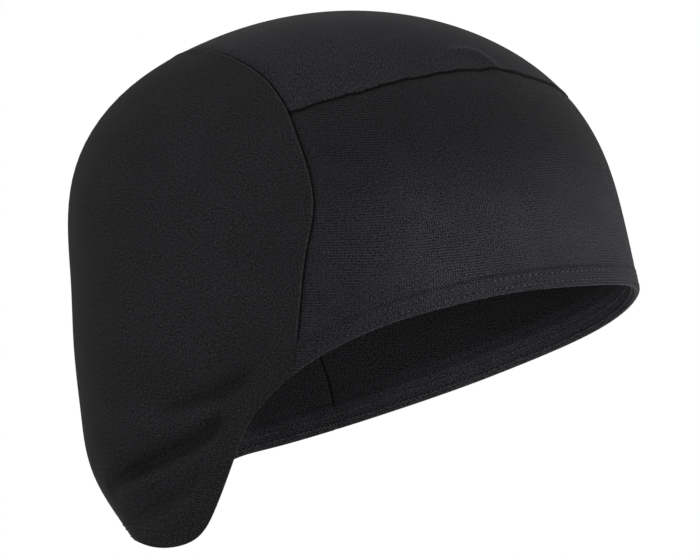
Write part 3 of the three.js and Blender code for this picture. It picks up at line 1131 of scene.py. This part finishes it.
def cloth_material(name, colour, knit, outside):
    """Knitted cloth with its courses, fuzz, lint and stitched hem. outside: 1 for the outer face or 0."""
    material, tree, shader = new_material(name)
    grain = attribute(tree, "grain")
    courses = group_node(
        tree,
        shared_group("Knit courses", knit_group),
        Grain=grain,
        Course_pitch=knit.course,
        Wale_pitch=knit.wale,
        Rib=knit.rib,
        Rows=knit.rows,
        Fuzz=knit.fuzz,
        Fuzz_scale=knit.grit,
    )
    lint = group_node(tree, shared_group("Lint", lint_group), Grain=grain, Share=knit.lint)["Mask"]
    stitching = group_node(
        tree,
        shared_group("Hem stitching", hem_group),
        Place=attribute(tree, "hem"),
        Cover_depth=outside,
    )

    valley = [value * (1 - knit.contrast * VALLEY_SHARE) for value in colour]
    crest = [value * (1 + knit.contrast * CREST_SHARE) for value in colour]
    hole = [value * HOLE_LIGHT for value in colour]
    fluff = [min(1, value * LINT_FACTOR + LINT_LIGHT) for value in colour]
    tinted = node(tree, "ShaderNodeVectorMath", operation="SCALE")
    feed(tree, tinted.inputs[0], mixed_colour(tree, courses["Shade"], (*valley, 1), (*crest, 1)))
    feed(tree, tinted.inputs["Scale"], cloth_tone_and_light(tree, knit, outside))
    sewn = mixed_colour(tree, stitching["Dark"], tinted.outputs[0], (*hole, 1))
    feed(tree, shader.inputs["Base Color"], mixed_colour(tree, lint, sewn, (*fluff, 1)))
    relief = courses["Height"] * knit.depth + stitching["Height"] * HOLE_DEPTH + lint * LINT_HEIGHT
    raise_relief(tree, shader, relief, MM)
    feed_inputs(tree, shader, Roughness=knit.roughness, Specular_IOR_Level=knit.specular)
    feed_inputs(tree, shader, Sheen_Weight=knit.sheen, Sheen_Roughness=0.45)
    return material


def thread_material(name, colour):
    """Polyester sewing thread: fine twist, a little glossier than the cloth."""
    material, tree, shader = new_material(name)
    fibres = noise(tree, node(tree, "ShaderNodeTexCoord").outputs["Object"], 2500.0, 2.0)
    # Painted light on the thread: paler towards the front and darker at the nape, times its random tone and
    # fibres
    tone = attribute(tree, "tone", "Fac") * fibres.ranged(0.3, 0.7, 0.7, 1.3)
    feed(tree, shader.inputs["Base Color"], mixed_colour(tree, tone, DARK_THREAD, (*colour, 1)))
    raise_relief(tree, shader, fibres, 0.05 * MM)
    feed_inputs(tree, shader, Roughness=0.5, Sheen_Weight=0.2)
    return material


def material_named(name, make, *values):
    return bpy.data.materials.get(name) or make(name, *values)


def panel_materials(slot, knit):
    """The cloth's outer and inner face. The top panel shares the front panel's inside."""
    colours = bpy.context.scene.cap_colours
    outside = material_named(slot + "_knit", cloth_material, tuple(getattr(colours, slot)), knit, 1.0)
    name, knit = ("rear_inside", REAR_INSIDE) if slot == "rear_cloth" else ("front_inside", FRONT_INSIDE)
    inside = material_named(name, cloth_material, tuple(colours.inside_cloth), knit, 0.0)
    return outside, inside


# Settings


def colour_property(name, description, default):
    return bpy.props.FloatVectorProperty(
        name=name, description=description, default=default, subtype="COLOR", size=3, min=0, max=1
    )


def length_property(name, description, default):
    return bpy.props.FloatProperty(
        name=name, description=description, default=default, unit="LENGTH", min=0, precision=5
    )


class ClothSettings(bpy.types.PropertyGroup):
    """Sizes of the cloth and its edges."""

    wall: length_property("Wall", "Thickness of the cloth", 0.0016)
    hem_wall: length_property("Hem wall", "Thickness of the folded hem", 0.0026)
    hem_depth: length_property("Hem depth", "How deep the hem is folded in", 0.008)
    seam_gap: length_property("Seam gap", "Width of the line between two panels", 0.0003)
    seam_roll: length_property("Seam roll", "Radius of a panel's edge where it rolls into a seam", 0.0007)
    cell: length_property("Cell", "Size of a full mesh cell", 0.0017)


class StitchSettings(bpy.types.PropertyGroup):
    """Sizes of the hem's stitching."""

    first_row: length_property("First row", "Height of the lower stitch row above the hem's edge", 0.002)
    second_row: length_property("Second row", "Height of the upper stitch row above the hem's edge", 0.0051)
    cover_row: length_property("Cover row", "Height of the cover stitches above the hem's edge", 0.0068)
    pitch: length_property("Pitch", "Distance from stitch to stitch in a row", 0.0022)
    cover_pitch: length_property("Cover pitch", "Distance from cover stitch to cover stitch", 0.00105)
    length: length_property("Length", "Length of thread that shows in a stitch", 0.0011)
    thread: length_property("Thread", "Diameter of the sewing thread", 0.00042)


class ColourSettings(bpy.types.PropertyGroup):
    """Colours of the cloth and thread."""

    rear_cloth: colour_property("Rear cloth", "Colour of the rear panel", SLOT_COLOURS["rear_cloth"])
    top_cloth: colour_property("Top cloth", "Colour of the top panel", SLOT_COLOURS["top_cloth"])
    front_cloth: colour_property("Front cloth", "Colour of the front panel", SLOT_COLOURS["front_cloth"])
    # Lighter than the outer cloth, partly as painted light where little light reaches the inside
    inside_cloth: colour_property("Inside", "Colour of the cloth's inner face", (0.049, 0.049, 0.055))
    thread: colour_property("Thread", "Colour of the sewing thread", (0.12, 0.12, 0.13))
    cover_thread: colour_property("Cover thread", "Colour of the cover stitches", (0.056, 0.056, 0.07))
    looper_thread: colour_property("Looper thread", "Colour of the loops inside the hem", (0.25, 0.25, 0.27))


class StudioSettings(bpy.types.PropertyGroup):
    """Camera, lights and floor."""

    azimuth: bpy.props.FloatProperty(
        name="Azimuth",
        description="Camera's turn from the front",
        default=math.radians(-83.4),
        subtype="ANGLE",
    )
    elevation: bpy.props.FloatProperty(
        name="Elevation", description="Camera's height angle", default=math.radians(-9.0), subtype="ANGLE"
    )
    distance: length_property("Distance", "From the camera to the middle of the view", 1.4)
    middle: bpy.props.FloatProperty(
        name="Middle", description="Height of the middle of the view", default=-0.0946, unit="LENGTH"
    )
    lens: bpy.props.FloatProperty(
        name="Lens", description="Focal length of the camera", default=201.6, unit="CAMERA", min=1
    )
    floor: bpy.props.FloatProperty(
        name="Floor", description="Height of the studio floor", default=-2.4, unit="LENGTH"
    )
    fill: bpy.props.FloatProperty(
        name="Fill", description="Brightness of the light from all around", default=0.22, min=0
    )


# Operators


class CAP_OT_rear_panel(bpy.types.Operator):
    """Sew the rear panel: back of the head, ears and nape"""

    bl_idname = "cap.rear_panel"
    bl_label = "Rear Panel"

    def execute(self, context):
        cell = context.scene.cap_cloth.cell / MM
        nape = joined(
            turned(smooth_line(HEM, 0, RIGHT_NAPE_CORNER)), turned(smooth_line(HEM, LEFT_NAPE_CORNER))
        )
        right = turned(smooth_line(HEM, RIGHT_NAPE_CORNER, RIGHT_EAR))
        left = smooth_line(HEM, LEFT_EAR, LEFT_NAPE_CORNER)
        sheet = patch_sheet(rear_seam, nape, right, left, (HEM_EDGE, HEM_EDGE), (SEAM_EDGE, HEM_EDGE), cell)
        seams = (Seam(rear_seam, 1, 0.3, 0, 0),)
        sew_panel("rear", sheet, seams, grain_around(sheet.places, -180), REAR_KNIT)
        return {"FINISHED"}


class CAP_OT_top_panel(bpy.types.Operator):
    """Sew the top panel over the crown"""

    bl_idname = "cap.top_panel"
    bl_label = "Top Panel"

    def execute(self, context):
        cell = context.scene.cap_cloth.cell / MM
        outline = joined(forehead_seam, turned(crown_back_seam))
        sheet = disc_sheet(outline, SEAM_EDGE, cell * TOP_CELL)
        seams = (Seam(forehead_seam, 1, 0.3, 1.2, 0), Seam(crown_back_seam, -1, -0.35, 0, 0.1))
        sew_panel("top", sheet, seams, grain_over(sheet.places), TOP_KNIT)
        return {"FINISHED"}


class CAP_OT_front_panel(bpy.types.Operator):
    """Sew the front panel over the forehead"""

    bl_idname = "cap.front_panel"
    bl_label = "Front Panel"

    def execute(self, context):
        cell = context.scene.cap_cloth.cell / MM
        hem = smooth_line(HEM, RIGHT_EAR, LEFT_EAR)
        sides = (right_ear_seam, turned(left_ear_seam))
        sheet = patch_sheet(hem, forehead_seam, *sides, (SEAM_EDGE, SEAM_EDGE), (HEM_EDGE, SEAM_EDGE), cell)
        seams = (
            Seam(right_ear_seam, -1, -0.35, 0, 0.1),
            Seam(left_ear_seam, -1, -0.35, 0, 0.1),
            Seam(forehead_seam, -1, -0.4, 1.2, 0.5),
        )
        sew_panel("front", sheet, seams, grain_around(sheet.places, 0), FRONT_KNIT)
        return {"FINISHED"}


class CAP_OT_hem_stitches(bpy.types.Operator):
    """Sew the hem's two stitch rows, the cover stitches above them and the loops inside"""

    bl_idname = "cap.hem_stitches"
    bl_label = "Hem Stitches"

    def execute(self, context):
        cloth = context.scene.cap_cloth
        sizes = context.scene.cap_stitches
        colours = context.scene.cap_colours
        thread, cover, looper = (
            material_named(name, thread_material, tuple(colour))
            for name, colour in (
                ("hem_thread", colours.thread),
                ("cover_thread", colours.cover_thread),
                ("looper_thread", colours.looper_thread),
            )
        )
        radius = sizes.thread / 2
        rows = []
        for row in (sizes.first_row, sizes.second_row):
            lift = outer_lift(np.array(row), cloth)
            paths = stitches_along(row, sizes.pitch, sizes.length, lift, ROW_ARCH)
            rows.append(thread_mesh(paths, radius))
        lay_threads("hem_stitches", thread, rows)

        lift = outer_lift(np.array(sizes.cover_row), cloth)
        leans = (COVER_LEAN, -COVER_LEAN)
        paths = stitches_across(sizes.cover_row, COVER_HALF, sizes.cover_pitch, leans, lift, COVER_ARCH)
        lay_threads("hem_cover_stitches", cover, [thread_mesh(paths, radius)])

        lift = -inner_depth(np.array(sizes.first_row), cloth)
        pitch = sizes.pitch / LOOPS_PER_STITCH
        loops = []
        for row in (sizes.first_row - LOOP_DROP, sizes.second_row):
            paths = stitches_across(row, LOOP_HALF, pitch, (0, LOOP_LEAN), lift, LOOP_ARCH)
            loops.append(thread_mesh(paths, radius * LOOP_THICKNESS, LOOP_NAPE_LIGHT))
        lay_threads("hem_looper_threads", looper, loops)
        return {"FINISHED"}


# Studio lights around the cap, with their direction in degrees and power in watts
Lamp = namedtuple("Lamp", "name azimuth elevation power")
LAMPS = (
    Lamp("side_light", -80, 48, 3.8),
    Lamp("level_light", -80, -15, 1.4),
    Lamp("low_light", -80, -45, 1.7),
    Lamp("front_light", -40, 5, 3.1),
    Lamp("forehead_light", 22, -4, 2.6),
    Lamp("rear_light", -150, 0, 2.6),
    Lamp("far_light", 97, -4, 2.6),
    Lamp("crown_light", 180, 65, 0.9),
)
LAMP_SIZE = 0.9
LAMP_DISTANCE = 1.6
FLOOR_HALF = 3
SENSOR_WIDTH = 36


def direction(azimuth, elevation):
    """From the cap outward. Azimuth 0 is the front and -90 degrees the wearer's right; both in radians."""
    flat = math.cos(elevation)
    return Vector((math.sin(azimuth) * flat, -math.cos(azimuth) * flat, math.sin(elevation)))


def aimed(data, middle, way, distance):
    """A lamp or a camera at a distance from the middle, looking back at it."""
    thing = bpy.data.objects.new(data.name, data)
    thing.location = middle + way * distance
    thing.rotation_euler = way.to_track_quat("Z", "Y").to_euler()
    bpy.context.scene.collection.objects.link(thing)
    return thing


class CAP_OT_studio(bpy.types.Operator):
    """Set up the floor, lights and camera"""

    bl_idname = "cap.studio"
    bl_label = "Studio"

    def execute(self, context):
        scene = context.scene
        studio = scene.cap_studio
        middle = Vector((0, 0, studio.middle))
        self.build_camera(scene, studio, middle)
        self.build_floor(studio)
        self.build_world(scene, studio)
        for lamp in LAMPS:
            data = bpy.data.lights.new(lamp.name, "AREA")
            data.size = LAMP_SIZE
            data.energy = lamp.power
            way = direction(math.radians(lamp.azimuth), math.radians(lamp.elevation))
            aimed(data, middle, way, LAMP_DISTANCE)
        scene.view_settings.view_transform = "Standard"
        return {"FINISHED"}

    def build_camera(self, scene, studio, middle):
        """The camera at the photograph's viewing angle."""
        data = bpy.data.cameras.new("studio_camera")
        data.lens = studio.lens
        data.sensor_width = SENSOR_WIDTH
        way = direction(studio.azimuth, studio.elevation)
        scene.camera = aimed(data, middle, way, studio.distance)

    def build_floor(self, studio):
        """A plain pale floor."""
        sides = ((-1, -1), (1, -1), (1, 1), (-1, 1))
        corners = [(x * FLOOR_HALF, y * FLOOR_HALF, studio.floor) for x, y in sides]
        material, tree, shader = new_material("studio_floor")
        feed_inputs(tree, shader, Base_Color=(0.8, 0.8, 0.8, 1), Roughness=0.9)
        floor = new_piece("studio_floor", corners, [(0, 1, 2, 3)], [material])

    def build_world(self, scene, studio):
        """A white surround, dimmer as a light than as a backdrop."""
        world = bpy.data.worlds.new("studio_world")
        world.use_nodes = True
        tree = world.node_tree
        tree.nodes.clear()
        white = (1, 1, 1, 1)
        light = feed_inputs(tree, node(tree, "ShaderNodeBackground"), Color=white, Strength=studio.fill)
        backdrop = feed_inputs(tree, node(tree, "ShaderNodeBackground"), Color=white)
        seen = node(tree, "ShaderNodeLightPath").outputs["Is Camera Ray"]
        mix = node(tree, "ShaderNodeMixShader")
        for socket, value in zip(mix.inputs, (seen, light.outputs[0], backdrop.outputs[0])):
            feed(tree, socket, value)
        feed(tree, node(tree, "ShaderNodeOutputWorld").inputs["Surface"], mix.outputs[0])
        scene.world = world


OPERATORS = (
    CAP_OT_studio,
    CAP_OT_rear_panel,
    CAP_OT_top_panel,
    CAP_OT_front_panel,
    CAP_OT_hem_stitches,
)


class CAP_PT_sidebar(bpy.types.Panel):
    """Lists the steps that make the cap"""

    bl_idname = "CAP_PT_sidebar"
    bl_label = "Skull Cap"
    bl_space_type = "VIEW_3D"
    bl_region_type = "UI"
    bl_category = "Cap"

    def draw(self, context):
        for operator in OPERATORS:
            self.layout.operator(operator.bl_idname)
        for name in SETTINGS:
            group = getattr(context.scene, name)
            box = self.layout.box()
            for setting in group.bl_rna.properties.keys():
                if setting not in ("rna_type", "name"):
                    box.prop(group, setting)


SETTINGS = {
    "cap_cloth": ClothSettings,
    "cap_stitches": StitchSettings,
    "cap_colours": ColourSettings,
    "cap_studio": StudioSettings,
}


def register():
    for kind in (*SETTINGS.values(), *OPERATORS, CAP_PT_sidebar):
        bpy.utils.register_class(kind)
    for name, kind in SETTINGS.items():
        setattr(bpy.types.Scene, name, bpy.props.PointerProperty(type=kind))


def unregister():
    for name in SETTINGS:
        delattr(bpy.types.Scene, name)
    for kind in reversed((*SETTINGS.values(), *OPERATORS, CAP_PT_sidebar)):
        bpy.utils.unregister_class(kind)


def main():
    register()
    bpy.ops.cap.studio()
    bpy.ops.cap.rear_panel()
    bpy.ops.cap.top_panel()
    bpy.ops.cap.front_panel()
    bpy.ops.cap.hem_stitches()


if __name__ == "__main__":
    main()
